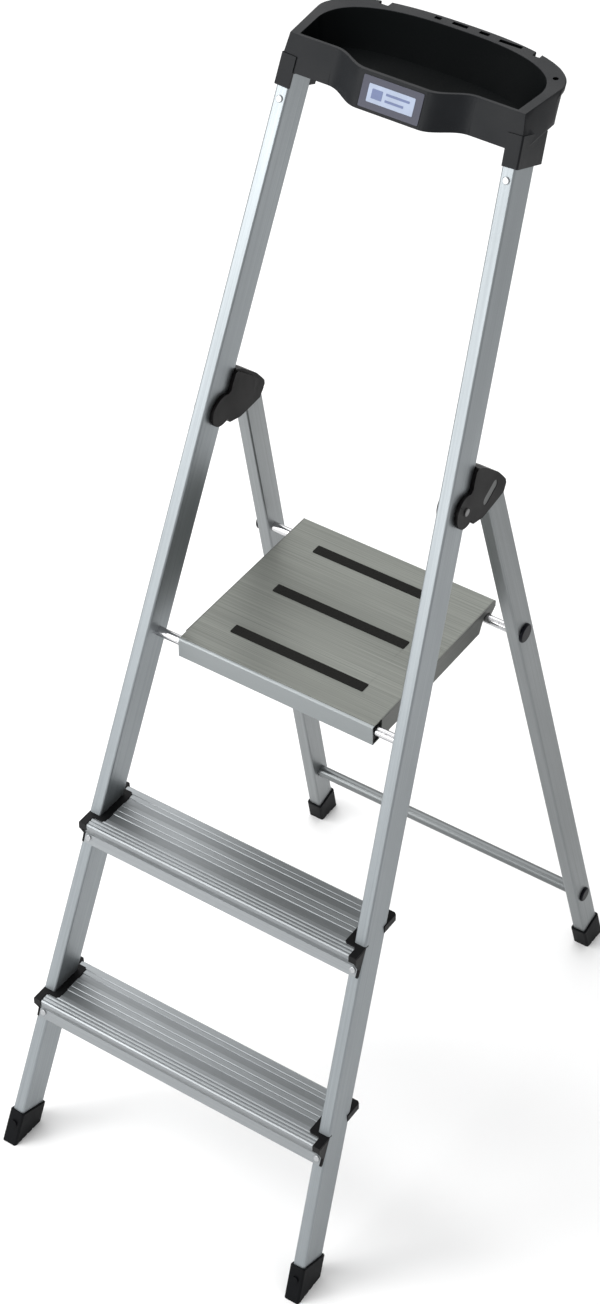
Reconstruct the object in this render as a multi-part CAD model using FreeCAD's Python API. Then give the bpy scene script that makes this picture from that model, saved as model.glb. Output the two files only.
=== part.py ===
import FreeCAD, Part
import math
import os

# Folding step ladder: two steps, a hinged platform and a tool tray.
# Millimetres. +Z up, +X across the width, the climbing side faces -Y.
# Origin: on the floor, in the middle of the opened ladder's footprint.

# ---- driving dimensions ----------------------------------------------------

STILE_LEAN = math.radians(21.26)      # front stiles, leaning back as they rise
LEG_LEAN = math.radians(15.25)        # rear legs, leaning forward as they rise
SPLAY = 0.0576                        # sideways run-in of every upright per mm of height
FOOT_HALF_WIDTH = 224.3               # centre plane to an upright's outer face, at the floor
FEET_APART = 702.8                    # stile front face to leg front face, at the floor

STILE_W, STILE_D = 16.0, 44.0         # stile section: width, depth
LEG_W, LEG_D = 17.5, 32.0             # leg section
WALL = 1.5                            # wall of both extrusions
SHOE = 2.5                            # rubber thickness round an upright

STEP_HEIGHTS = {"lower": 218.4, "upper": 457.3}
DECK_HEIGHT = 690.0
HINGE_HEIGHT = 943.0
HINGE_DEPTH = 30.75                   # hinge axis behind the stile's front face
TRAY_RIM = 1366.0                     # top of the tray, the highest point
TRAY_BASE = 1328.0                    # lower edge of the tray's front wall

ROD_R = 6.0                           # both platform rods
TUBE_R = 8.0                          # lower cross tube between the legs
PIN_R = 4.0                           # hinge pins
RUN_FIT = 0.06                        # radial clearance of what turns on a rod or a pin

STILE_RUN = math.tan(STILE_LEAN)      # rearward run per mm of height
LEG_RUN = math.tan(LEG_LEAN)
FRONT_Y = -0.5 * (FEET_APART + (LEG_D + SHOE) / math.cos(LEG_LEAN) - SHOE / math.cos(STILE_LEAN))

V = FreeCAD.Vector
PARTS = {}


# ---- small helpers ---------------------------------------------------------

def polygon(points):
    """Face bounded by straight lines through the points."""
    return Part.Face(Part.makePolygon([V(*p) for p in points] + [V(*points[0])]))


def box(lo, hi):
    return Part.makeBox(hi[0] - lo[0], hi[1] - lo[1], hi[2] - lo[2], V(*lo))


def rod_x(radius, x0, x1, y, z):
    """Round bar along X."""
    return Part.makeCylinder(radius, x1 - x0, V(x0, y, z), V(1, 0, 0))


def profile_x(points, x0, x1):
    """Solid with the given (y, z) outline, running along X."""
    face = polygon([(x0, y, z) for y, z in points])
    return face.extrude(V(x1 - x0, 0, 0))


def mirrored(shape):
    return shape.mirror(V(0, 0, 0), V(1, 0, 0))


def fused(shapes):
    return shapes[0].multiFuse(shapes[1:]).removeSplitter()


def both_sides(shapes):
    """Right-hand solids and their mirror images, kept apart in one compound."""
    return Part.makeCompound(shapes + [mirrored(s) for s in shapes])


def rounded(shape, radius, wanted):
    """Fillet the edges that the test picks; leave the shape alone if none is found."""
    edges = [e for e in shape.Edges if wanted(e)]
    return shape.makeFillet(radius, edges) if edges else shape


def along(edge, direction, tolerance=0.999):
    """True for a straight edge that runs along the direction."""
    if not isinstance(edge.Curve, (Part.Line, Part.LineSegment)):
        return False
    run = edge.Vertexes[-1].Point.sub(edge.Vertexes[0].Point)
    return run.Length > 0.01 and abs(run.normalize().dot(direction)) > tolerance


# ---- local frames of the uprights ------------------------------------------
# In a local frame X is the width (outer face at 0, the section lies at negative X),
# Y the depth (front face at 0, rearwards positive) and Z runs up the upright.

def upright_frame(y_floor, run, lean):
    axis = V(-SPLAY, run, 1).normalize()
    depth = V(0, math.cos(lean), -math.sin(lean))
    width = depth.cross(axis)
    return FreeCAD.Placement(FreeCAD.Matrix(
        width.x, depth.x, axis.x, FOOT_HALF_WIDTH,
        width.y, depth.y, axis.y, y_floor,
        width.z, depth.z, axis.z, 0,
        0, 0, 0, 1))


STILE = upright_frame(FRONT_Y, STILE_RUN, STILE_LEAN)
LEG = upright_frame(FRONT_Y + FEET_APART, -LEG_RUN, -LEG_LEAN)
STILE_STRETCH = math.sqrt(1 + SPLAY ** 2 + STILE_RUN ** 2)   # length along a stile per mm of height
LEG_STRETCH = math.sqrt(1 + SPLAY ** 2 + LEG_RUN ** 2)


def placed(shape, frame):
    moved = shape.copy()
    moved.Placement = frame.multiply(moved.Placement)
    return moved


def on_stile(depth, height):
    """(y, z) of a point at the given depth behind a stile's front face and given height."""
    y = FRONT_Y + STILE_RUN * height + depth / math.cos(STILE_LEAN)
    return y, height


def on_leg(depth, height):
    y = FRONT_Y + FEET_APART - LEG_RUN * height + depth / math.cos(LEG_LEAN)
    return y, height


def outer_x(height):
    """Outer face of a stile or leg at a height, measured on its centre plane."""
    return FOOT_HALF_WIDTH - SPLAY * height


def section(width, depth, grow, z0, z1, radius):
    """Solid bar with an upright's section, grown on all sides, in the local frame."""
    bar = box((-width - grow, -grow, z0), (grow, depth + grow, z1))
    return rounded(bar, radius, lambda e: along(e, V(0, 0, 1)))


HINGE_Y, HINGE_Z = on_stile(HINGE_DEPTH, HINGE_HEIGHT)
FRONT_ROD_Y, FRONT_ROD_Z = on_stile(25.8, 679.0)
REAR_ROD_Y, REAR_ROD_Z = on_leg(10.0, 675.0)
TUBE_Y, TUBE_Z = on_leg(15.7, 110.0)

STILE_TOP = 1327.0 * STILE_STRETCH
LEG_TOP = 948.0 * LEG_STRETCH
LONG = 1500.0

stile_bar = placed(section(STILE_W, STILE_D, 0, -50, STILE_TOP, 2.5), STILE)
stile_core = placed(section(STILE_W, STILE_D, -WALL, -60, LONG, 1.0), STILE)
leg_bar = placed(section(LEG_W, LEG_D, 0, -50, LEG_TOP, 2.5), LEG)
leg_core = placed(section(LEG_W, LEG_D, -WALL, -60, LONG, 1.0), LEG)
below_shoe_floor = box((-300, -500, -90), (300, 500, 4.0))
underground = box((-300, -500, -90), (300, 500, 0))


# ---- rivets ----------------------------------------------------------------

RIVET_R = 2.0


def rivet_head(base, out):
    """Domed head that stands out from the base point."""
    head = Part.makeCylinder(4.2, 1.6, base, out)
    return head.makeFillet(1.2, [max(head.Edges, key=lambda e: e.CenterOfMass.dot(out))])


def rivet(base, inward, shank, tail_at=None):
    """Rivet with its head at the base point; a blind rivet also has a tail bulb at tail_at."""
    solids = [Part.makeCylinder(RIVET_R, shank, base, inward), rivet_head(base, inward * -1)]
    if tail_at:
        solids.append(Part.makeCylinder(2.9, 2.5, base.add(inward * tail_at), inward))
    return fused(solids)


def rivet_hole(base, inward, length):
    return Part.makeCylinder(RIVET_R, length, base, inward)


# ---- steps -----------------------------------------------------------------
# Step outlines use (depth behind the stile's front edge line, height below the tread).

NOSE = -20.0                          # front edge of the tread
STEP_REAR = 63.0
FLANGE_BOTTOM = -36.0
FLANGE_T = 3.0
CAP_END_W = 10.0                      # cap's width on the nosing
CAP_STRIP_W = 10.0                    # cap's width along the stile's inner face

STEP_TOP = [
    (-18.5, 0.0), (-16.4, -0.6), (-15.6, -0.6), (-14.0, 0.0), (-12.5, 0.0),
    (-11.4, -0.6), (-10.6, -0.6), (-9.0, 0.0), (-7.5, 0.0), (-6.4, -0.6), (-5.6, -0.6), (-4.0, 0.0),
    (1.5, 0.0), (2.0, -0.9), (13.0, -0.9), (13.5, 0.0),
    (19.0, 0.0), (19.4, -0.4), (20.6, -0.4), (21.0, 0.0), (28.0, 0.0), (28.4, -0.4),
    (29.6, -0.4), (30.0, 0.0), (35.5, 0.0), (36.0, -0.9), (45.5, -0.9), (46.0, 0.0),
    (51.0, 0.0), (51.4, -0.4), (52.6, -0.4), (53.0, 0.0), (STEP_REAR - 2.5, 0.0),
]


def flange_y(z, out):
    """Depth of a line that lies 'out' in front of the stile's leaning front face."""
    return STILE_RUN * z - out / math.cos(STILE_LEAN)


def step_outline():
    rear = [(STEP_REAR, -2.0), (STEP_REAR, -8.0), (STEP_REAR - 2.0, -10.0), (STEP_REAR - 6.5, -10.0)]
    under = [(STEP_REAR - 6.5, -4.6), (flange_y(-4.6, 0), -4.6),
             (flange_y(FLANGE_BOTTOM, 0), FLANGE_BOTTOM)]
    front = [
        (flange_y(FLANGE_BOTTOM, FLANGE_T), FLANGE_BOTTOM), (flange_y(-24.0, FLANGE_T), -24.0),
        (NOSE + 1.8, -9.0), (NOSE, -7.0), (NOSE, -1.5),
    ]
    return STEP_TOP + rear + under + front


def nosing_hollow():
    return [(NOSE + 3.0, -4.0), (flange_y(-4.0, FLANGE_T) - 1.5, -4.0),
            (flange_y(-19.0, FLANGE_T) + 0.5, -19.0), (NOSE + 3.0, -7.5)]


def cap_plan(height):
    """Right-hand cap seen from above as (x, depth) points: a C round the stile."""
    edge = outer_x(height)
    strip = edge - STILE_W - CAP_STRIP_W
    return [
        (edge, NOSE - 0.8), (edge - CAP_END_W, NOSE - 0.8), (edge - CAP_END_W, -7.5),
        (edge - CAP_END_W - 2.0, -5.5), (strip + 3.0, -5.5), (strip, -2.5), (strip, 52.0),
        (strip + 3.0, 55.0), (edge - 13.0, 55.0), (edge - 13.0, 64.5), (edge - 11.0, 66.5),
        (edge - 2.5, 66.5), (edge + 0.5, 64.0), (edge + 0.5, 40.0), (edge - 14.0, 40.0),
        (edge - 14.0, 6.0), (edge, 6.0),
    ]


def step_cap(height):
    """Cap on the right-hand end of a step."""
    y0 = FRONT_Y + STILE_RUN * height
    edge = outer_x(height)
    plan = [(x, y0 + d, height - 9.5) for x, d in cap_plan(height)]
    ring = polygon(plan).extrude(V(0, 0, 10.3))
    ring = rounded(ring, 0.7, lambda e: abs(e.CenterOfMass.z - height - 0.8) < 0.01)
    side = [(NOSE - 0.8, -1.5), (NOSE - 0.8, -10.0), (flange_y(-25.5, FLANGE_T), -25.5),
            (flange_y(FLANGE_BOTTOM, FLANGE_T), FLANGE_BOTTOM),
            (flange_y(FLANGE_BOTTOM, 0), FLANGE_BOTTOM),
            (0.0, -1.5)]
    gusset = profile_x([(y0 + d, height + z) for d, z in side], edge - 2.6, edge + 0.4)
    flange = profile_x([
        (y0 + flange_y(-8.0, FLANGE_T), height - 8.0),
        (y0 + flange_y(FLANGE_BOTTOM, FLANGE_T), height + FLANGE_BOTTOM),
        (y0 + flange_y(FLANGE_BOTTOM, 0), height + FLANGE_BOTTOM),
        (y0 + flange_y(-8.0, 0), height - 8.0)], edge - 2.6, edge + 0.4)
    return fused([ring, gusset, flange]).cut(stile_bar)


def step(height, cap):
    y0 = FRONT_Y + STILE_RUN * height
    edge = outer_x(height)
    outline = [(y0 + d, height + z) for d, z in step_outline()]
    hollow = [(y0 + d, height + z) for d, z in nosing_hollow()]
    bar = profile_x(outline, -edge, edge).cut(profile_x(hollow, -edge - 1, edge + 1))
    for rib in (17.0, 40.0):
        bar = bar.fuse(box((-edge, y0 + rib, height - 9.0), (edge, y0 + rib + 1.6, height - 3.0)))
    for tool in (cap, stile_bar):
        bar = bar.cut(tool).cut(mirrored(tool))
    return max(bar.Solids, key=lambda s: s.Volume)


caps = {name: step_cap(h) for name, h in STEP_HEIGHTS.items()}
STILE_BACK = STILE.Rotation.multVec(V(0, 1, 0))
STILE_OUT = STILE.Rotation.multVec(V(1, 0, 0))
STILE_SIDE = V(0, STILE_RUN, 1).normalize()   # up the stile, seen from the side


def stile_front_point(height, out, inboard):
    """Point 'out' in front of the right stile's front face, 'inboard' of its outer face."""
    return STILE.multVec(V(-inboard, -out, height * STILE_STRETCH))


step_rivets = []
rivet_holes = []
for height in STEP_HEIGHTS.values():
    base = stile_front_point(height - 29.0, FLANGE_T, 9.5)
    step_rivets.append(rivet(base, STILE_BACK, FLANGE_T + WALL + 2.0, FLANGE_T + WALL))
    rivet_holes.append(rivet_hole(base, STILE_BACK, 9.0))

step_holes = both_sides(rivet_holes)
for name, height in STEP_HEIGHTS.items():
    cap = caps[name].cut(Part.makeCompound(rivet_holes))
    PARTS["step_" + name] = step(height, cap).cut(step_holes)
    PARTS["step_cap_%s_right" % name] = cap
    PARTS["step_cap_%s_left" % name] = mirrored(cap)
PARTS["step_rivets"] = both_sides(step_rivets)


# ---- tool tray -------------------------------------------------------------
# Plan points use (x, depth behind the stile's front edge line at that height).

TRAY_HALF = 151.0                     # rim, at its widest
RIM_FRONT_HALF = 145.0                # rim, at the front corners
PANEL_HALF = 39.0                     # flat panel that carries the label
PANEL_TOP, PANEL_FOOT = -19.0, -21.0  # how far the panel stands forward, at rim and at lower edge
LEDGE_T = 9.0                         # thickness of the perforated rear ledge


def tray_point(x, depth, z):
    return V(x, FRONT_Y + STILE_RUN * z + depth, z)


def front_curve(inset, bulge):
    """Right half of the front edge, from the flat end through an S to the forward panel."""
    return [(88.0 - inset * 0.5, inset), (73.0, inset + bulge * 0.2),
            (56.0, inset + bulge * 0.72), (PANEL_HALF - inset * 0.4, inset + bulge)]


def rear_curve(half, start, middle, count=14):
    """Rear edge from right to left: a squared-off arc between the two ends."""
    points = []
    for i in range(count + 1):
        turn = math.pi * i / count
        x = math.copysign(abs(math.cos(turn)) ** 0.8, math.cos(turn)) * half
        points.append((x, start + (middle - start) * math.sin(turn) ** 0.8))
    return points


def spline(points):
    curve = Part.BSplineCurve()
    curve.interpolate(points)
    return curve.toShape()


def line(a, b):
    return Part.LineSegment(a, b).toShape()


def tray_outline(z, inset, bulge, front_half, half, start, middle):
    """Closed wire of the bowl at one height: wavy front, straight ends, curved rear."""
    right = [tray_point(x, d, z) for x, d in front_curve(inset, bulge)]
    left = [tray_point(-x, d, z) for x, d in front_curve(inset, bulge)]
    rear = [tray_point(x, d, z) for x, d in rear_curve(half, start, middle)]
    corner_right = tray_point(front_half, inset, z)
    corner_left = tray_point(-front_half, inset, z)
    return Part.Wire([
        line(left[-1], right[-1]), spline(right[::-1]), line(right[0], corner_right),
        line(corner_right, rear[0]), spline(rear), line(rear[-1], corner_left),
        line(corner_left, left[0]), spline(left)])


def tray_loft(low, high):
    return Part.makeLoft([low, high], True, True)


LEDGE_BASE = TRAY_RIM - LEDGE_T
LEDGE_START, LEDGE_MIDDLE = 62.0, 120.0
BOWL_HALF, BOWL_START, BOWL_MIDDLE = 138.0, 40.0, 105.0


def ledge_wire(z, inset):
    """Outline of the rear ledge at one height, drawn in by the inset along its curved edge."""
    curve = rear_curve(TRAY_HALF - inset, LEDGE_START, LEDGE_MIDDLE - inset)
    rear = [tray_point(x, d, z) for x, d in curve]
    return Part.Wire([spline(rear), line(rear[-1], rear[0])])


shell = tray_loft(tray_outline(TRAY_BASE, 0, PANEL_FOOT, 150.5, 150.5, 67, 88),
                  tray_outline(TRAY_RIM, 0, PANEL_TOP, RIM_FRONT_HALF, TRAY_HALF - 0.1, 61, 110))
shell = rounded(shell, 2.5, lambda e: abs(e.CenterOfMass.x) > 140 and along(e, STILE_SIDE, 0.97)
                and e.CenterOfMass.y < tray_point(0, 10, e.CenterOfMass.z).y)
ledge_levels = [(LEDGE_BASE, 0.8), (LEDGE_BASE + 1.5, 0), (TRAY_RIM - 2.0, 0), (TRAY_RIM, 1.8)]
ledge = Part.makeLoft([ledge_wire(z, inset) for z, inset in ledge_levels], True, True)
brackets = [polygon([tuple(tray_point(x, 76, TRAY_BASE)), tuple(tray_point(x, 108, LEDGE_BASE + 1)),
                     tuple(tray_point(x, 60, LEDGE_BASE + 1)), tuple(tray_point(x, 60, TRAY_BASE + 2))])
            .extrude(V(3, 0, 0)) for x in (-62.5, 59.5)]

# sockets over the stile tops, in the stile's local frame
SOCKET_FOOT = 1312.0 * STILE_STRETCH
socket = box((-STILE_W, -1.5, SOCKET_FOOT), (3.0, 55.0, 1345.0 * STILE_STRETCH))
socket = rounded(socket, 2.0, lambda e: along(e, V(0, 0, 1)) and e.CenterOfMass.x > 0)
socket = placed(socket, STILE)
socket = socket.cut(box((0, -500, LEDGE_BASE), (400, 800, 1500)))
tongue = section(STILE_W, STILE_D, -WALL, 1284.0 * STILE_STRETCH, 1334.0 * STILE_STRETCH, 1.0)
tongue = placed(tongue, STILE)

tray_solid = fused([shell, ledge] + brackets)
bowl = tray_loft(tray_outline(TRAY_BASE + 5, 3.2, PANEL_FOOT + 1, 128.0, 128.0, BOWL_START, 80),
                 tray_outline(TRAY_RIM + 1, 3.2, PANEL_TOP + 0.6, 135.0,
                              BOWL_HALF, BOWL_START, BOWL_MIDDLE))
tray_solid = tray_solid.cut(bowl)
tray_solid = fused([tray_solid, socket, mirrored(socket)])
tray_solid = tray_solid.cut(stile_bar).cut(mirrored(stile_bar))
tray_solid = fused([tray_solid, tongue, mirrored(tongue)])

# hollow under each end rim, behind the stile, closed on top
for flip in (lambda s: s, mirrored):
    pocket = box((137.5, 0, 0), (147.0, 26.0, 22.0))
    pocket.translate(tray_point(0, 62, TRAY_BASE - 1))
    tray_solid = tray_solid.cut(flip(pocket))

# notches and slots of the rear ledge
TRAY_SLOTS = [(-34, -26), (-12, 7), (22, 34), (48, 76)]
NOTCHES = [(-100, -88), (92, 101)]
SLOT_W = 5.2


def curve_depth(x, half, start, middle):
    """Depth of a rear curve at the given x."""
    cosine = (abs(x) / half) ** 1.25
    return start + (middle - start) * math.sqrt(1 - cosine ** 2) ** 0.8


def ledge_middle(x):
    outer = curve_depth(x, TRAY_HALF, LEDGE_START, LEDGE_MIDDLE)
    return (outer + curve_depth(x, BOWL_HALF, BOWL_START, BOWL_MIDDLE)) / 2


for x0, x1 in NOTCHES:
    notch = box((x0, 0, -30), (x1, 60, 10))
    notch.translate(tray_point(0, ledge_middle((x0 + x1) / 2) + 0.5, TRAY_RIM))
    tray_solid = tray_solid.cut(notch)
for x0, x1 in TRAY_SLOTS:
    slot = box((x0, -SLOT_W / 2, -30), (x1, SLOT_W / 2, 10))
    slot.translate(tray_point(0, ledge_middle((x0 + x1) / 2), TRAY_RIM))
    tray_solid = tray_solid.cut(slot)
hole = tray_point(136, 80, LEDGE_BASE)
tray_solid = tray_solid.cut(Part.makeCylinder(3.2, 60, hole.sub(V(0, 0, 30)), V(0, 0, 1)))

# recess on the panel and the label plate that sits in it
LABEL_HALF = 37.0
LABEL_T = 1.2
panel_low = tray_point(0, PANEL_FOOT, TRAY_BASE)
panel_high = tray_point(0, PANEL_TOP, TRAY_RIM)
panel_up = panel_high.sub(panel_low).normalize()
panel_out = V(1, 0, 0).cross(panel_up).normalize()
if panel_out.y > 0:
    panel_out = panel_out.multiply(-1)
panel_length = panel_high.sub(panel_low).Length


def on_panel(across, up, out):
    return panel_low.add(V(across, 0, 0)).add(panel_up * up).add(panel_out * out)


label_corners = [(-LABEL_HALF, 3.5), (LABEL_HALF, 3.5),
                 (LABEL_HALF, panel_length - 4), (-LABEL_HALF, panel_length - 4)]
label = polygon([tuple(on_panel(a, u, -0.6)) for a, u in label_corners])
label = label.extrude(panel_out * LABEL_T)
label = rounded(label, 1.5, lambda e: along(e, panel_out))
tray_solid = tray_solid.cut(label)

# rivets that hold the tray's tongues in the stiles
tray_rivet_base = stile_front_point(1299.0, 0, 8.0)
tray_hole = rivet_hole(tray_rivet_base, STILE_BACK, 6.0)
tray_holes = both_sides([tray_hole])
PARTS["tool_tray"] = max(tray_solid.cut(tray_holes).Solids, key=lambda s: s.Volume)
PARTS["tray_label"] = label
PARTS["tray_rivets"] = both_sides([rivet(tray_rivet_base, STILE_BACK, 6.0)])


# ---- stiles and their shoes ------------------------------------------------

BUSH_R = 6.5
hinge_bore = rod_x(BUSH_R, 100, 220, HINGE_Y, HINGE_Z)
front_rod_end = FOOT_HALF_WIDTH - SPLAY * FRONT_ROD_Z - WALL - 1.5
rod_bore = rod_x(ROD_R, 100, front_rod_end, FRONT_ROD_Y, FRONT_ROD_Z)

stile = stile_bar.cut(stile_core).cut(below_shoe_floor).cut(hinge_bore).cut(rod_bore)
stile = stile.cut(Part.makeCompound(rivet_holes)).cut(tray_hole)
PARTS["stile_right"] = stile
PARTS["stile_left"] = mirrored(stile)
PARTS["front_rod"] = rod_x(ROD_R, -front_rod_end, front_rod_end, FRONT_ROD_Y, FRONT_ROD_Z)

bush = rod_x(BUSH_R, 100, 220, HINGE_Y, HINGE_Z).common(stile_bar)
bush = bush.cut(rod_x(PIN_R + RUN_FIT, 100, 220, HINGE_Y, HINGE_Z))
PARTS["hinge_bushes"] = both_sides([bush])


def shoe(frame, bar, width, depth, length, boss_z):
    """Rubber shoe round the foot of an upright, flat on the floor."""
    cover = box((-width - SHOE, -SHOE, -40), (SHOE, depth + SHOE, length))
    cover = rounded(cover, 3.0, lambda e: along(e, V(0, 0, 1)))
    cover = rounded(cover, 1.2, lambda e: abs(e.CenterOfMass.z - length) < 0.01)
    if boss_z:
        boss = Part.makeCylinder(4.5, SHOE + 2.0, V(-width / 2, 0, boss_z), V(0, -1, 0))
        cover = cover.fuse(boss)
    plug = section(width, depth, -WALL, -40, length * 0.6, 1.0)
    for y in (0.32, 0.68):
        cover = cover.cut(box((-width - SHOE - 1, depth * y - 1, -40), (SHOE + 1, depth * y + 1, -39)))
    solid = placed(cover, frame).cut(bar.cut(below_shoe_floor)).fuse(placed(plug, frame))
    solid = solid.cut(underground)
    return max(solid.Solids, key=lambda s: s.Volume)


front_foot = shoe(STILE, stile_bar, STILE_W, STILE_D, 49.0, 31.0)
rear_foot = shoe(LEG, leg_bar, LEG_W, LEG_D, 35.0, 0)
tread_cuts = [box((-300, y, -1), (300, y + 3, 1.2)) for y in (FRONT_Y + 11, FRONT_Y + 21, FRONT_Y + 31)]
rear_y = FRONT_Y + FEET_APART
tread_cuts += [box((-300, y, -1), (300, y + 3, 1.2)) for y in (rear_y + 8, rear_y + 18)]
for name, foot in (("front_foot", front_foot), ("rear_foot", rear_foot)):
    foot = foot.cut(Part.makeCompound(tread_cuts))
    PARTS[name + "_right"] = foot
    PARTS[name + "_left"] = mirrored(foot)


# ---- hinge forks on the leg tops -------------------------------------------
# Outlines use (y, z) measured from the hinge axis.

LOBE_R = 20.0
LOBE_AT = (0.5, -0.5)                 # centre of the rounded end round the pin
FORK_GAP = 1.3                        # side play between fork and stile
FORK_OUT = 5.5                        # outer face of the fork beyond the stile's outer face
FORK_IN = 4.2                         # thickness of the inner cheek
STOP_GAP = 0.3                        # air left between the fork and the stile at each stop


def hinge_point(y, z):
    return HINGE_Y + y, HINGE_Z + z


def fork_profile(points):
    """Plate with a (y, z) outline round the hinge, between the fork's two sides."""
    x_mid = outer_x(HINGE_HEIGHT) - STILE_W / 2
    face = polygon([(x_mid - 60, HINGE_Y + y, HINGE_Z + z) for y, z in points])
    return face.extrude(V(120, 0, 0))


def slab(frame, lo, hi):
    return placed(box(lo, hi), frame)


ARM = [(8, 17), (15, 19), (18, 28), (22.5, 38), (28, 41), (42, 33), (69, 10), (80, -3), (86, -11),
       (87, -17), (81.5, -26), (56, -29), (35, -31), (14, -26), (0, 0)]
arm = fork_profile(ARM)
arm = rounded(arm, 3.0, lambda e: along(e, V(1, 0, 0)) and e.CenterOfMass.y > HINGE_Y + 12)
lobe = rod_x(LOBE_R, 40, 260, *hinge_point(*LOBE_AT))
between = slab(STILE, (-STILE_W - FORK_GAP - FORK_IN, -200, 800), (FORK_OUT, 300, 1150))
fork = fused([arm, lobe]).common(between)
# the inner cheek is a little shorter than the outer one
INNER_CUT = [(24, 60), (27, 39.5), (38, 31), (63, 9), (73, -4), (79, -11), (80, -17), (74, -25.5), (74, -60),
             (120, -60), (120, 60)]
inner_cheek = slab(STILE, (-60, -200, 800), (-LEG_W - 0.6, 300, 1150))
fork = fork.cut(fork_profile(INNER_CUT).common(inner_cheek))
outer_level = V(outer_x(HINGE_HEIGHT) + FORK_OUT, HINGE_Y, HINGE_Z).dot(STILE_OUT)
fork = rounded(fork, 1.2, lambda e: abs(e.CenterOfMass.dot(STILE_OUT) - outer_level) < 0.3)

rear_face = STILE_D + STOP_GAP        # stop face, in the stile's frame
slot_stile = slab(STILE, (-STILE_W - FORK_GAP, -200, 800), (FORK_GAP, rear_face, 1150))
swing_face = -(44.0 - 13.25 - STOP_GAP)   # face that meets the stile when folded, in the leg's frame
slot_leg = slab(LEG, (-60, -200, 800), (40, swing_face, 1150))
slot_leg = slot_leg.common(slab(STILE, (-STILE_W - FORK_GAP, -200, 800), (FORK_GAP, 300, 1150)))
fork = fork.cut(slot_stile).cut(slot_leg)

# the leg's top is cut to a slope that stays under the fork's upper skin
LEG_CLIP = [(-60, 34), (25, 34), (39, 28), (66, 6), (76, -6), (95, -20), (500, -21),
            (500, -1100), (-60, -1100)]
leg_clip = profile_x([hinge_point(y, z) for y, z in LEG_CLIP], 0, 300)
leg_solid = leg_bar.common(leg_clip)
fork = fork.cut(leg_solid)
tenon = placed(section(LEG_W, LEG_D, -WALL, 897.0 * LEG_STRETCH, LONG, 1.0), LEG).common(leg_clip)
fork = fork.fuse(tenon)

# long shallow recess on the outer face, between the lobe and the leg's top, with a pad in it


def capsule(centre_y, centre_z, direction, length, radius, x0, x1):
    """Slot-shaped solid along X, its long side along the given direction."""
    half = direction * (length / 2)
    ends = [V(x0, HINGE_Y + centre_y, HINGE_Z + centre_z).add(half * s) for s in (-1, 1)]
    across = V(1, 0, 0).cross(direction).normalize() * radius
    bar = polygon([tuple(ends[0].add(across)), tuple(ends[1].add(across)),
                   tuple(ends[1].sub(across)), tuple(ends[0].sub(across))]).extrude(V(x1 - x0, 0, 0))
    return fused([bar] + [Part.makeCylinder(radius, x1 - x0, e, V(1, 0, 0)) for e in ends])


PAD_RISE = V(0, 25, 12).normalize()
skin = slab(STILE, (FORK_OUT - 1.8, -200, 800), (FORK_OUT + 5, 300, 1150))
fork = fork.cut(capsule(52, -7.5, PAD_RISE, 21, 5.8, 120, 260).common(skin))
pad_depth = slab(STILE, (FORK_OUT - 1.8, -200, 800), (FORK_OUT - 0.6, 300, 1150))
PARTS["fork_pads"] = both_sides([capsule(52, -7.5, PAD_RISE, 21, 5.8, 120, 260).common(pad_depth)])

LEG_BACK = LEG.Rotation.multVec(V(0, 1, 0))
fork_rivet_base = LEG.multVec(V(-LEG_W / 2, LEG_D, 907.0 * LEG_STRETCH))
fork_hole = rivet_hole(fork_rivet_base, LEG_BACK * -1, 8.0)
fork = fork.cut(fork_hole)
fork = max(fork.Solids, key=lambda s: s.Volume)
PARTS["fork_rivets"] = both_sides([rivet(fork_rivet_base, LEG_BACK * -1, 8.0)])

# the pin's head shows on the outside; its inner end stays inside the fork
pin_x1 = outer_x(HINGE_HEIGHT) + FORK_OUT
pin_x0 = outer_x(HINGE_HEIGHT) - STILE_W - FORK_GAP - 2.8
pin_head = rod_x(PIN_R + 0.6, pin_x1 - 1.2, pin_x1 + 0.9, HINGE_Y, HINGE_Z)
pin_head = rounded(pin_head, 0.7, lambda e: abs(e.CenterOfMass.x - pin_x1 - 0.9) < 0.01)
hinge_pin = fused([rod_x(PIN_R, pin_x0, pin_x1, HINGE_Y, HINGE_Z), pin_head])
PARTS["hinge_fork_right"] = fork.cut(hinge_pin)
PARTS["hinge_fork_left"] = mirrored(PARTS["hinge_fork_right"])
PARTS["hinge_pins"] = both_sides([hinge_pin])


# ---- legs, rear rod and cross tube -----------------------------------------

rear_rod_bore = rod_x(ROD_R, 100, 260, REAR_ROD_Y, REAR_ROD_Z)
tube_bore = rod_x(TUBE_R, 100, 300, TUBE_Y, TUBE_Z)
leg = leg_solid.cut(leg_core).cut(below_shoe_floor)
leg = leg.cut(rear_rod_bore).cut(tube_bore).cut(fork_hole)
leg = max(leg.Solids, key=lambda s: s.Volume)
PARTS["rear_leg_right"] = leg
PARTS["rear_leg_left"] = mirrored(leg)

leg_outer = placed(box((-600, -400, -100), (0, 500, 1200)), LEG)
half_rod = rod_x(ROD_R, 0, 260, REAR_ROD_Y, REAR_ROD_Z).common(leg_outer)
PARTS["rear_rod"] = fused([half_rod, mirrored(half_rod)])
half_tube = rod_x(TUBE_R, 0, 300, TUBE_Y, TUBE_Z).common(leg_outer)
half_tube = half_tube.cut(rod_x(TUBE_R - 1.5, 0, 300, TUBE_Y, TUBE_Z))
PARTS["cross_tube"] = fused([half_tube, mirrored(half_tube)])


def plug(radius, y, z, spigot):
    """Domed cap on the leg's outer face, over the end of a rod or tube."""
    face_x = FOOT_HALF_WIDTH - SPLAY * z
    head = rod_x(radius, face_x - 6, face_x + 3.6, y, z)
    head = rounded(head, 2.0, lambda e: e.CenterOfMass.x > face_x + 3.5)
    head = head.cut(leg_outer)
    if spigot:
        head = head.fuse(rod_x(spigot, face_x - 14, face_x + 1, y, z))
    return head


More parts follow.
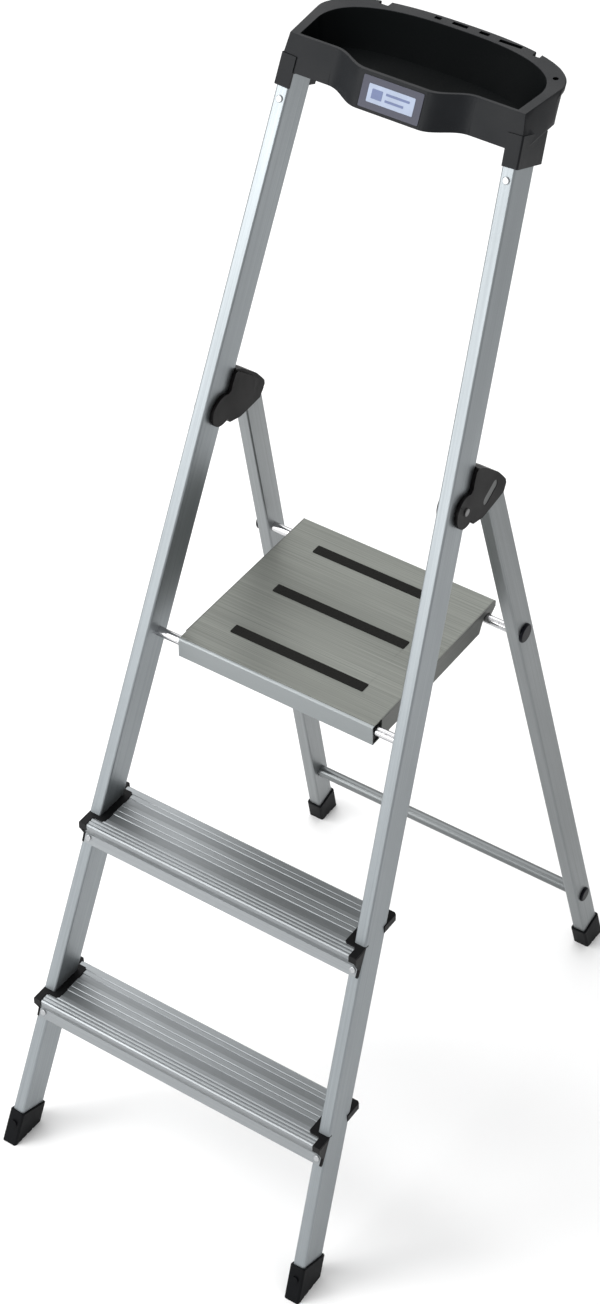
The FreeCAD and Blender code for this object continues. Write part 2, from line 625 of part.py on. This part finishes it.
PARTS["rod_plugs"] = both_sides([plug(12.2, REAR_ROD_Y + 3.0, REAR_ROD_Z, 0)])
PARTS["tube_plugs"] = both_sides([plug(10.0, TUBE_Y, TUBE_Z, TUBE_R - 1.5)])


# ---- platform --------------------------------------------------------------

PLAT_HALF = 136.0
PLAT_FRONT = FRONT_ROD_Y - 9.0
PLAT_REAR = FRONT_Y + 549.0
PLAT_T = 28.0
BOX_D = 18.0                          # hollow front box that turns on the front rod
END_PLATE_T = 1.5
PANEL_END = PLAT_HALF - END_PLATE_T
base_z = DECK_HEIGHT - PLAT_T
hook_y, hook_z = REAR_ROD_Y, REAR_ROD_Z

PANEL_OUTLINE = [
    (PLAT_FRONT, base_z + 1.5), (PLAT_FRONT + 1.5, base_z), (hook_y - 15.5, base_z),
    (hook_y - 15.0, base_z + 1.0), (hook_y - 8.5, hook_z + 2.0), (hook_y - 6.0, hook_z + 6.4),
    (hook_y, hook_z + ROD_R + 0.9), (hook_y + 5.0, hook_z + 6.0), (hook_y + 7.0, hook_z + 2.5),
    (hook_y + 7.0, hook_z - 1.0), (hook_y + 9.5, hook_z - 2.0), (PLAT_REAR, DECK_HEIGHT - 9.0),
    (PLAT_REAR, DECK_HEIGHT - 1.5), (PLAT_REAR - 1.5, DECK_HEIGHT), (PLAT_FRONT + 5.0, DECK_HEIGHT),
    (PLAT_FRONT + 4.6, DECK_HEIGHT - 0.7), (PLAT_FRONT + 4.0, DECK_HEIGHT - 0.7),
    (PLAT_FRONT + 3.6, DECK_HEIGHT), (PLAT_FRONT + 1.5, DECK_HEIGHT), (PLAT_FRONT, DECK_HEIGHT - 1.5),
]
panel = profile_x(PANEL_OUTLINE, -PANEL_END, PANEL_END)

skin_t = 2.2
box_rear = PLAT_FRONT + BOX_D
last = hook_y - 20.0
bays = 5
pitch = (last - box_rear) / bays
cells = [(PLAT_FRONT + 1.5, box_rear - 1.5)]
for i in range(bays):
    front_web = 0.6 if i else 0.0
    cells.append((box_rear + i * pitch + front_web, box_rear + (i + 1) * pitch - 0.6))
for y0, y1 in cells:
    top = DECK_HEIGHT - (1.5 if y0 < box_rear - 2 else skin_t)
    cell = box((-PLAT_HALF, y0, base_z + 1.5), (PLAT_HALF, y1, top))
    panel = panel.cut(rounded(cell, 1.0, lambda e: along(e, V(1, 0, 0))))
panel = panel.cut(profile_x([
    (last + 1.2, DECK_HEIGHT - skin_t), (last + 1.2, base_z + 1.5), (hook_y - 17.2, base_z + 1.5),
    (hook_y - 10.6, hook_z + 4.0), (hook_y - 9.0, DECK_HEIGHT - skin_t - 0.6)], -PLAT_HALF, PLAT_HALF))

# plates that close the panel's ends behind the hollow front box
end_plate = profile_x(PANEL_OUTLINE, PANEL_END, PLAT_HALF)
end_plate = end_plate.cut(box((0, PLAT_FRONT - 1, base_z - 1), (200, box_rear - 0.8, DECK_HEIGHT + 1)))
PARTS["platform_end_plates"] = both_sides([end_plate])

STRIP_W = 14.0
STRIP_HALF = 92.0
strips = {"front": FRONT_Y + 334.0, "middle": FRONT_Y + 421.5, "rear": FRONT_Y + 507.0}
for name, y in strips.items():
    strip = box((-STRIP_HALF, y - STRIP_W / 2, DECK_HEIGHT - 0.9),
                (STRIP_HALF, y + STRIP_W / 2, DECK_HEIGHT + 0.7))
    strip = rounded(strip, 1.5, lambda e: along(e, V(0, 0, 1)))
    panel = panel.cut(strip)
    PARTS["grip_strip_" + name] = strip
PARTS["platform_panel"] = panel

insert = box((PLAT_HALF - 23.5, PLAT_FRONT + 1.5, base_z + 1.5),
             (PLAT_HALF - 3.5, box_rear - 1.5, DECK_HEIGHT - 1.5))
insert = rounded(insert, 1.0, lambda e: along(e, V(1, 0, 0)))
insert = insert.cut(rod_x(ROD_R + RUN_FIT, 0, 300, FRONT_ROD_Y, FRONT_ROD_Z))
PARTS["platform_bushes"] = both_sides([insert])


# ---- write every sub-part --------------------------------------------------

os.makedirs("parts", exist_ok=True)
for name, shape in PARTS.items():
    shape.exportStep("parts/%s.step" % name)
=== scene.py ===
import math
import random

import bpy
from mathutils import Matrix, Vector


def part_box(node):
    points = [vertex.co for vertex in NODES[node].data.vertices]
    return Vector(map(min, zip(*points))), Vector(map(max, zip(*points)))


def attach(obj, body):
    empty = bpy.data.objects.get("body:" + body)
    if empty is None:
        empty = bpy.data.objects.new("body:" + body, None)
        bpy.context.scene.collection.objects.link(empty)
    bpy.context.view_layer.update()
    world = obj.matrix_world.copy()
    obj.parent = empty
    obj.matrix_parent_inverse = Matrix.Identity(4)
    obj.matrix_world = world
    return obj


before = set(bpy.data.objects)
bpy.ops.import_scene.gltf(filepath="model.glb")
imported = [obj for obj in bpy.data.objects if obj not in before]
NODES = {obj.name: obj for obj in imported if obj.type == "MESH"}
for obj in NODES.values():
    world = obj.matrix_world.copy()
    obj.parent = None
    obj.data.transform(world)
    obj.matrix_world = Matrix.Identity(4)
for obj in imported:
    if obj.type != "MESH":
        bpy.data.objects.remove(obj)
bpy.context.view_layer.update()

# lengths are metres
STILE_LEAN = math.radians(21.26)       # the stiles lean back
LEG_LEAN = math.radians(15.25)         # the rear legs lean forward
SPLAY = 0.0576                         # inward run of each side per metre of height
FRONT_Y = -0.367938                    # front face of the stiles at the floor
PLATFORM_FRONT = -0.085069             # front face of the platform
FRONT_HIGHLIGHT_DEPTH = 0.0043                 # depth of the painted highlight along the platform's front edge

# duller bands of a tread: (middle, half width) behind the stiles' front line
TREAD_BANDS = ((0.0075, 0.0053), (0.0408, 0.0046))
TREAD_BAND_TONE = 0.76

# where the faces of the tray's bowl lie, which get painted shade
BOWL_LOW, BOWL_HIGH = 1.3325, 1.3656
BOWL_HALF_WIDTH = 0.1386
BOWL_REAR_FROM, BOWL_FRONT_TO = 0.006, 0.030   # behind the stiles' front line
REAR_SIDE_FACING, FRONT_SIDE_FACING = 0.25, 0.15   # most and least Y of the normal

# noise cells per metre, along three axes
DIE_LINES = (900, 900, 4)
FINE_LINES = (2600, 2600, 30)
CLOUDS = (9, 9, 2.2)
STEEL_RINGS = (700, 8, 8)


# ---- materials -------------------------------------------------------------

def new_material(name):
    """Material with nodes, with its tree and its shader."""
    mat = bpy.data.materials.new(name)
    mat.use_nodes = True
    tree = mat.node_tree
    bsdf = tree.nodes["Principled BSDF"]
    return mat, tree, bsdf


def noise(tree, vector, scale, detail=3.0, rough=0.5):
    """Noise texture; its grey value, mostly between 0.3 and 0.7."""
    n = tree.nodes.new("ShaderNodeTexNoise")
    n.inputs["Scale"].default_value = scale
    n.inputs["Detail"].default_value = detail
    n.inputs["Roughness"].default_value = rough
    tree.links.new(vector, n.inputs["Vector"])
    return n.outputs["Fac"]


def mapped(tree, turn=(0, 0, 0), scale=(1, 1, 1)):
    """Object coordinates, turned and then stretched."""
    coord = tree.nodes.new("ShaderNodeTexCoord")
    turned = tree.nodes.new("ShaderNodeMapping")
    turned.inputs["Rotation"].default_value = turn
    stretched = tree.nodes.new("ShaderNodeMapping")
    stretched.inputs["Scale"].default_value = scale
    tree.links.new(coord.outputs["Object"], turned.inputs["Vector"])
    tree.links.new(turned.outputs["Vector"], stretched.inputs["Vector"])
    return stretched.outputs["Vector"]


def remap(tree, fac, low, high, from_low=0.3, from_high=0.7):
    """Value spread over low to high."""
    r = tree.nodes.new("ShaderNodeMapRange")
    r.inputs["From Min"].default_value = from_low
    r.inputs["From Max"].default_value = from_high
    r.inputs["To Min"].default_value = low
    r.inputs["To Max"].default_value = high
    tree.links.new(fac, r.inputs["Value"])
    return r.outputs["Result"]


def mix_colour(tree, fac, a, b):
    """Colour a where fac is 0 and b where it is 1; each is a tuple or a socket."""
    m = tree.nodes.new("ShaderNodeMix")
    m.data_type = "RGBA"
    tree.links.new(fac, m.inputs["Factor"])
    for socket, value in ((m.inputs["A"], a), (m.inputs["B"], b)):
        if isinstance(value, tuple):
            socket.default_value = (*value, 1.0)
        else:
            tree.links.new(value, socket)
    return m.outputs["Result"]


def add_bump(tree, bsdf, height, strength, distance, after=None):
    """Bump on the shader, on top of an earlier bump if one is given."""
    b = tree.nodes.new("ShaderNodeBump")
    b.inputs["Strength"].default_value = strength
    b.inputs["Distance"].default_value = distance
    tree.links.new(height, b.inputs["Height"])
    if after is not None:
        tree.links.new(after, b.inputs["Normal"])
    tree.links.new(b.outputs["Normal"], bsdf.inputs["Normal"])
    return b.outputs["Normal"]


def tinted(colour, factor):
    return tuple(c * factor for c in colour)


def axis_turn(axis):
    """Euler turn that brings the axis onto Z, for a Mapping node."""
    return Vector(axis).normalized().rotation_difference(Vector((0, 0, 1))).to_euler()


def brushed(name, colour, axis, rough=0.4, metallic=0.85, grain=1.0, blotch=0.06, streak=0.10):
    """Anodised aluminium: die lines along the axis, faint cloudy tone, soft gloss."""
    mat, tree, bsdf = new_material(name)
    turn = axis_turn(axis)
    lines = noise(tree, mapped(tree, turn, DIE_LINES), 1.0, detail=2.0)
    fine = noise(tree, mapped(tree, turn, FINE_LINES), 1.0, detail=2.0)
    cloud = noise(tree, mapped(tree, turn, CLOUDS), 1.0, detail=4.0)
    dark = tinted(colour, 1 - streak)
    light = tinted(colour, 1 + streak)
    base = mix_colour(tree, remap(tree, lines, 0, 1), dark, light)
    worn = tinted(colour, 1 - blotch * 2)
    base = mix_colour(tree, remap(tree, cloud, 0, 0.5), base, worn)
    tree.links.new(base, bsdf.inputs["Base Color"])
    tree.links.new(remap(tree, cloud, rough - 0.05, rough + 0.07), bsdf.inputs["Roughness"])
    bsdf.inputs["Metallic"].default_value = metallic
    first = add_bump(tree, bsdf, lines, strength=0.25 * grain, distance=0.0002)
    add_bump(tree, bsdf, fine, strength=0.15 * grain, distance=0.0001, after=first)
    return mat


def plastic(name, colour, rough=0.45, grain=0.35, grain_scale=1400, specular=0.5):
    """Moulded plastic: fine spark-eroded grain, slight tone and gloss variation."""
    mat, tree, bsdf = new_material(name)
    vec = mapped(tree)
    pits = noise(tree, vec, grain_scale, detail=4.0, rough=0.6)
    cloud = noise(tree, vec, 22, detail=4.0)
    base = mix_colour(tree, remap(tree, cloud, 0, 1), tinted(colour, 0.85), tinted(colour, 1.2))
    tree.links.new(base, bsdf.inputs["Base Color"])
    tree.links.new(remap(tree, cloud, rough - 0.05, rough + 0.08), bsdf.inputs["Roughness"])
    bsdf.inputs["Specular IOR Level"].default_value = specular
    add_bump(tree, bsdf, pits, strength=grain, distance=0.0002)
    return mat


def maths(tree, operation, a, b=0.0):
    """One Math node; an operand is a socket or a number."""
    node = tree.nodes.new("ShaderNodeMath")
    node.operation = operation
    for socket, value in ((node.inputs[0], a), (node.inputs[1], b)):
        if isinstance(value, (int, float)):
            socket.default_value = value
        else:
            tree.links.new(value, socket)
    return node.outputs[0]


def all_of(tree, tests):
    """1 where every test is 1."""
    result = tests[0]
    for test in tests[1:]:
        result = maths(tree, "MULTIPLY", result, test)
    return result


def object_place(tree):
    """Separate X, Y and Z of the object coordinates."""
    coord = tree.nodes.new("ShaderNodeTexCoord")
    place = tree.nodes.new("ShaderNodeSeparateXYZ")
    tree.links.new(coord.outputs["Object"], place.inputs[0])
    return place.outputs


def depth_behind_front(tree, y, z):
    """Distance behind the leaning front line of the stiles."""
    lean = maths(tree, "MULTIPLY", z, math.tan(STILE_LEAN))
    return maths(tree, "SUBTRACT", maths(tree, "SUBTRACT", y, FRONT_Y), lean)


def shader_of(mat):
    """Tree and shader of a finished material, and the socket that feeds its colour."""
    tree = mat.node_tree
    bsdf = tree.nodes["Principled BSDF"]
    return tree, bsdf, bsdf.inputs["Base Color"].links[0].from_socket


def painted_front_highlight(mat, limit, colour):
    """Painted highlight: lighter aluminium colour in front of the limit, on a deck of another tone."""
    tree, bsdf, deck = shader_of(mat)
    front = maths(tree, "LESS_THAN", object_place(tree)[1], limit)
    tree.links.new(mix_colour(tree, front, deck, colour), bsdf.inputs["Base Color"])


def darker_bands(mat, bands, tone):
    """Duller bands along a tread, given as (middle, half width) behind the stiles' front line."""
    tree, bsdf, plain = shader_of(mat)
    _, y, z = object_place(tree)
    depth = depth_behind_front(tree, y, z)
    inside = None
    for middle, half in bands:
        away = maths(tree, "ABSOLUTE", maths(tree, "SUBTRACT", depth, middle))
        band = maths(tree, "LESS_THAN", away, half)
        inside = band if inside is None else maths(tree, "MAXIMUM", inside, band)
    shade = tree.nodes.new("ShaderNodeHueSaturation")
    shade.inputs["Value"].default_value = tone
    tree.links.new(plain, shade.inputs["Color"])
    tree.links.new(inside, shade.inputs["Fac"])
    tree.links.new(shade.outputs["Color"], bsdf.inputs["Base Color"])


def painted_bowl_shade(mat, colour, specular):
    """Painted shade on the faces of the tray's bowl: darker colour and weaker gloss there."""
    tree, bsdf, outer = shader_of(mat)
    coord = tree.nodes.new("ShaderNodeTexCoord")
    facing = tree.nodes.new("ShaderNodeSeparateXYZ")
    tree.links.new(coord.outputs["Normal"], facing.inputs[0])
    x, y, z = object_place(tree)
    depth = depth_behind_front(tree, y, z)
    above_floor = maths(tree, "GREATER_THAN", z, BOWL_LOW)
    below_rim = maths(tree, "LESS_THAN", z, BOWL_HIGH)
    rear_side = all_of(tree, [
        above_floor,
        below_rim,
        maths(tree, "LESS_THAN", maths(tree, "ABSOLUTE", x), BOWL_HALF_WIDTH),
        maths(tree, "GREATER_THAN", depth, BOWL_REAR_FROM),
        maths(tree, "LESS_THAN", facing.outputs[1], REAR_SIDE_FACING)])
    front_side = all_of(tree, [
        above_floor,
        below_rim,
        maths(tree, "LESS_THAN", depth, BOWL_FRONT_TO),
        maths(tree, "GREATER_THAN", facing.outputs[1], FRONT_SIDE_FACING)])
    inside = maths(tree, "MAXIMUM", rear_side, front_side)
    tree.links.new(mix_colour(tree, inside, outer, colour), bsdf.inputs["Base Color"])
    outer_gloss = bsdf.inputs["Specular IOR Level"].default_value
    tree.links.new(remap(tree, inside, outer_gloss, specular, 0, 1), bsdf.inputs["Specular IOR Level"])


def steel(name, colour, rough):
    """Bright drawn bar: faint rings round X and a hard highlight."""
    mat, tree, bsdf = new_material(name)
    rings = noise(tree, mapped(tree, scale=STEEL_RINGS), 1.0, detail=2.0)
    base = mix_colour(tree, rings, tinted(colour, 0.9), colour)
    tree.links.new(base, bsdf.inputs["Base Color"])
    tree.links.new(remap(tree, rings, rough * 0.8, rough * 1.3), bsdf.inputs["Roughness"])
    bsdf.inputs["Metallic"].default_value = 1.0
    add_bump(tree, bsdf, rings, strength=0.1, distance=0.0001)
    return mat


def upright_axis(lean, side):
    """Direction of a stile or leg; side is 1 on the right and -1 on the left."""
    return Vector((-SPLAY * side, math.tan(lean), 1.0))


ALU = (0.270, 0.293, 0.307)
# painted shade: the rear legs get a darker copy of the stiles' aluminium, standing for the shade they
# are in
SHADED_LEG_ALU = (0.222, 0.236, 0.241)
MATS = {
    "stile_right": brushed("stile_right_alu", ALU, upright_axis(STILE_LEAN, 1)),
    "stile_left": brushed("stile_left_alu", ALU, upright_axis(STILE_LEAN, -1)),
    "rear_leg_right": brushed("leg_right_shaded_alu", SHADED_LEG_ALU, upright_axis(-LEG_LEAN, 1)),
    "rear_leg_left": brushed("leg_left_shaded_alu", SHADED_LEG_ALU, upright_axis(-LEG_LEAN, -1)),
    "step": brushed("step_alu", (0.275, 0.290, 0.300), (1, 0, 0), rough=0.42, streak=0.08),
    "deck": brushed("deck_alu", (0.156, 0.163, 0.149), (1, 0, 0), rough=0.4, streak=0.24, blotch=0.1),
    # painted shade: the end plates close the open profile's ends, whose chambers lie in shade, and get
    # a darker aluminium than the deck
    "deck_end": brushed("deck_end_shaded_alu", (0.130, 0.134, 0.126), (0, 1, 0), rough=0.5, streak=0.1),
    "tube": brushed("tube_alu", (0.165, 0.175, 0.178), (1, 0, 0), rough=0.35),
    "rod": steel("rod_steel", (0.55, 0.55, 0.56), 0.2),
    "rivet": steel("rivet_steel", (0.40, 0.41, 0.42), 0.35),
    "pin": steel("pin_steel", (0.20, 0.20, 0.20), 0.4),
    "tray": plastic("tray_plastic", (0.0080, 0.0090, 0.0105), rough=0.42, specular=0.13),
    "cap": plastic("cap_plastic", (0.0032, 0.0032, 0.0036), rough=0.42, specular=0.12),
    "fork": plastic("fork_plastic", (0.0036, 0.0031, 0.0034), rough=0.45, specular=0.10),
    "pad": plastic("pad_plastic", (0.10, 0.104, 0.104), rough=0.4, specular=0.3),
    "plug": plastic("plug_plastic", (0.0028, 0.0035, 0.006), rough=0.36, specular=0.08),
    "shoe": plastic("shoe_rubber", (0.0030, 0.0034, 0.0042), rough=0.5, grain=0.5, grain_scale=900,
                    specular=0.08),
    "grip": plastic("grip_rubber", (0.010, 0.010, 0.009), rough=0.85, grain=1.0, grain_scale=700,
                    specular=0.15),
    "label": plastic("label_border", (0.045, 0.047, 0.070), rough=0.35, grain=0.05, specular=0.25),
    "field": plastic("label_field", (0.31, 0.36, 0.47), rough=0.35, grain=0.05, specular=0.3),
    "mark": plastic("label_mark", (0.11, 0.14, 0.26), rough=0.35, grain=0.05, specular=0.3),
    "bush": plastic("bush_plastic", (0.006, 0.006, 0.006), rough=0.5, specular=0.2),
}
# painted shade: near-black colour and weak gloss on the faces of the tray's bowl
painted_bowl_shade(MATS["tray"], (0.0022, 0.0028, 0.0030), 0.02)
# painted highlight: a lighter strip along the platform's front edge
painted_front_highlight(MATS["deck"], PLATFORM_FRONT + FRONT_HIGHLIGHT_DEPTH, (0.262, 0.280, 0.285))
darker_bands(MATS["step"], TREAD_BANDS, TREAD_BAND_TONE)

# the first start of a node's name that fits gives its look
LOOKS = [
    ("stile_right", "stile_right"), ("stile_left", "stile_left"),
    ("rear_leg_right", "rear_leg_right"), ("rear_leg_left", "rear_leg_left"),
    ("step_cap", "cap"), ("step_rivets", "rivet"), ("tray_rivets", "rivet"), ("fork_rivets", "rivet"),
    ("hinge_pins", "pin"), ("fork_pads", "pad"), ("step_", "step"),
    ("front_rod", "rod"), ("rear_rod", "rod"), ("cross_tube", "tube"),
    ("platform_panel", "deck"), ("platform_end", "deck_end"), ("grip_strip", "grip"),
    ("tool_tray", "tray"), ("tray_label", "label"), ("front_foot", "shoe"), ("rear_foot", "shoe"),
    ("hinge_fork", "fork"), ("rod_plugs", "plug"), ("tube_plugs", "plug"),
    ("hinge_bushes", "bush"), ("platform_bushes", "bush"),
]


def look_for(name):
    return MATS[next(look for start, look in LOOKS if name.startswith(start))]


# bevel widths by the start of a node's name
EDGE_ROUND = {"tool_tray": 0.0005, "hinge_fork": 0.0004, "step_cap": 0.0004, "platform": 0.0004,
              "tray_label": 0.0002, "step_lower": 0.0002, "step_upper": 0.0002}
WELD_GAP = 0.000002
BEVEL_FROM = math.radians(38)          # edges sharper than this are bevelled


def round_edges(obj, width):
    """Small bevel on the sharp edges of a CAD piece."""
    weld = obj.modifiers.new("weld", "WELD")
    weld.merge_threshold = WELD_GAP
    bevel = obj.modifiers.new("edges", "BEVEL")
    bevel.width = width
    bevel.segments = 2
    bevel.limit_method = "ANGLE"
    bevel.angle_limit = BEVEL_FROM
    bevel.harden_normals = True


for name, obj in NODES.items():
    obj.data.materials.clear()
    obj.data.materials.append(look_for(name))
    for start, width in EDGE_ROUND.items():
        if name.startswith(start):
            round_edges(obj, width)


# ---- pieces added to the frame ---------------------------------------------

def mesh_piece(name, verts, faces, look, body, smooth=False):
    """New object built from lists, riding on the CAD body."""
    mesh = bpy.data.meshes.new(name)
    mesh.from_pydata([tuple(v) for v in verts], [], faces)
    mesh.materials.append(MATS[look])
    for polygon in mesh.polygons:
        polygon.use_smooth = smooth
    mesh.update()
    obj = bpy.data.objects.new(name, mesh)
    bpy.context.scene.collection.objects.link(obj)
    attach(obj, body)
    return obj


CORNER_STEPS = 6


def rounded_plate(name, centre, across, up, out, half_w, half_h, radius, thick, look, body):
    """Thin plate with round corners and a bevelled upper edge."""
    rings = []
    for grow, level in ((0.0, 0.0), (0.0, thick * 0.6), (-thick * 0.4, thick)):
        ring = []
        for cx, cy, start in ((1, 1, 0), (-1, 1, 90), (-1, -1, 180), (1, -1, 270)):
            for step in range(CORNER_STEPS + 1):
                turn = math.radians(start + step * 90 / CORNER_STEPS)
                x = cx * (half_w - radius) + (radius + grow) * math.cos(turn)
                y = cy * (half_h - radius) + (radius + grow) * math.sin(turn)
                ring.append(centre + across * x + up * y + out * level)
        rings.append(ring)
    count = len(rings[0])
    verts = [v for ring in rings for v in ring]
    faces = [tuple(range(count - 1, -1, -1)), tuple(range(2 * count, 3 * count))]
    for level in (0, 1):
        base = level * count
        faces += [(base + i, base + (i + 1) % count, base + count + (i + 1) % count, base + count + i)
                  for i in range(count)]
    return mesh_piece(name, verts, faces, look, body)


LABEL_THICK_Y = 0.0011                 # the plate's share of its box along Y
LABEL_FACE = 0.0006                    # from the middle of the plate out to its face
FIELD_HALF_W, FIELD_HALF_H, FIELD_CORNER, FIELD_THICK = 0.0285, 0.0098, 0.0012, 0.0004
BAR_CORNER, BAR_THICK = 0.0006, 0.0002
# bars on the field: across, up, half width, half height
LABEL_BARS = ((-0.017, 0.0, 0.0065, 0.0052), (0.008, 0.0035, 0.0145, 0.0013),
              (0.005, -0.0035, 0.0115, 0.0013))


def make_label():
    """Plain field and three plain bars on the tray's label plate."""
    low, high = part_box("tray_label")
    up = Vector((0, high.y - low.y - LABEL_THICK_Y, high.z - low.z)).normalized()
    across = Vector((1, 0, 0))
    out = across.cross(up).normalized()
    middle = (low + high) / 2 + out * LABEL_FACE
    rounded_plate("label_field", middle, across, up, out, FIELD_HALF_W, FIELD_HALF_H, FIELD_CORNER,
                  FIELD_THICK, "field", "front_frame")
    face = middle + out * FIELD_THICK
    for i, (x, y, half_w, half_h) in enumerate(LABEL_BARS):
        rounded_plate("label_bar_%d" % (i + 1), face + across * x + up * y, across, up, out,
                      half_w, half_h, BAR_CORNER, BAR_THICK, "mark", "front_frame")


GRIT_ACROSS, GRIT_DEEP = 168, 15       # cells of a strip's sheet
GRIT_INSET = 0.0008                    # from the strip's edge
GRIT_SINK = 0.0001                     # depth of the sheet's edge in the strip
GRIT_PEAK = 0.00035


def make_grit(strip):
    """Rough mineral coat on a grip strip: a fine sheet with random peaks and sunk edges."""
    low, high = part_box("grip_strip_" + strip)
    verts = []
    for j in range(GRIT_DEEP + 1):
        for i in range(GRIT_ACROSS + 1):
            edge = i in (0, GRIT_ACROSS) or j in (0, GRIT_DEEP)
            x = low.x + GRIT_INSET + (high.x - low.x - 2 * GRIT_INSET) * i / GRIT_ACROSS
            y = low.y + GRIT_INSET + (high.y - low.y - 2 * GRIT_INSET) * j / GRIT_DEEP
            z = high.z - GRIT_SINK if edge else high.z + random.uniform(0.0, GRIT_PEAK)
            verts.append((x, y, z))
    row = GRIT_ACROSS + 1
    faces = []
    for j in range(GRIT_DEEP):
        for i in range(GRIT_ACROSS):
            a = j * row + i
            faces.append((a, a + 1, a + row + 1, a + row))
    mesh_piece("grit_" + strip, verts, faces, "grip", "platform")


random.seed(7)
make_label()
for strip in ("front", "middle", "rear"):
    make_grit(strip)


# ---- stage -----------------------------------------------------------------

FLOOR_SIZE = 40.0
WORLD_STRENGTH = 0.68
# name, place, target, (width, height), watts
LIGHTS = (
    ("front_box", (-1.45, -2.75, 1.6), (0, 0, 1.1), (2.6, 1.7), 62),
    ("top_box", (-1.1, 1.3, 3.0), (0, 0, 0.4), (3.0, 3.0), 50),
    ("key", (-2.6, -1.6, 3.4), (0, 0, 0.6), (1.8, 1.8), 62),
)


def make_floor():
    """Plain pale floor, faintly uneven in tone."""
    bpy.ops.mesh.primitive_plane_add(size=FLOOR_SIZE, location=(0, 0, 0))
    floor = bpy.context.active_object
    floor.name = "floor"
    mat, tree, bsdf = new_material("floor_paper")
    vec = mapped(tree)
    tone = noise(tree, vec, 3.0, detail=3.0)
    base = mix_colour(tree, tone, (0.93, 0.93, 0.93), (0.95, 0.95, 0.95))
    tree.links.new(base, bsdf.inputs["Base Color"])
    bsdf.inputs["Roughness"].default_value = 0.8
    bsdf.inputs["Specular IOR Level"].default_value = 0.2
    floor.data.materials.append(mat)


def make_world(strength):
    """Even white light from all round."""
    world = bpy.data.worlds.new("studio")
    bpy.context.scene.world = world
    world.use_nodes = True
    bg = world.node_tree.nodes["Background"]
    bg.inputs["Color"].default_value = (1.0, 1.0, 1.0, 1.0)
    bg.inputs["Strength"].default_value = strength


def area_light(name, location, target, size, power):
    """Rectangular lamp that faces its target."""
    data = bpy.data.lights.new(name, "AREA")
    data.shape = "RECTANGLE"
    data.size, data.size_y = size
    data.energy = power
    obj = bpy.data.objects.new(name, data)
    bpy.context.scene.collection.objects.link(obj)
    obj.location = location
    obj.rotation_mode = "QUATERNION"
    obj.rotation_quaternion = (Vector(target) - Vector(location)).to_track_quat("-Z", "Y")


make_floor()
make_world(WORLD_STRENGTH)
for light in LIGHTS:
    area_light(*light)


# ---- camera ----------------------------------------------------------------

CAMERA_PLACE = (1.42233, -2.15675, 3.01304)
CAMERA_AZIMUTH = math.radians(34.03)
CAMERA_ELEVATION = math.radians(42.56)
CAMERA_SENSOR, CAMERA_LENS = 36.0, 82.58       # millimetres
CAMERA_SHIFT = (0.0071, 0.0159)


def make_camera():
    """Camera to the right of the climbing side, looking down at the ladder."""
    flat = math.cos(CAMERA_ELEVATION)
    back = Vector((math.sin(CAMERA_AZIMUTH) * flat, -math.cos(CAMERA_AZIMUTH) * flat,
                   math.sin(CAMERA_ELEVATION)))
    data = bpy.data.cameras.new("camera")
    data.sensor_width = CAMERA_SENSOR
    data.lens = CAMERA_LENS
    data.shift_x, data.shift_y = CAMERA_SHIFT
    cam = bpy.data.objects.new("camera", data)
    bpy.context.scene.collection.objects.link(cam)
    cam.rotation_mode = "QUATERNION"
    cam.location = CAMERA_PLACE
    cam.rotation_quaternion = (-back).to_track_quat("-Z", "Y")
    bpy.context.scene.camera = cam


make_camera()
bpy.context.scene.view_settings.view_transform = "Standard"
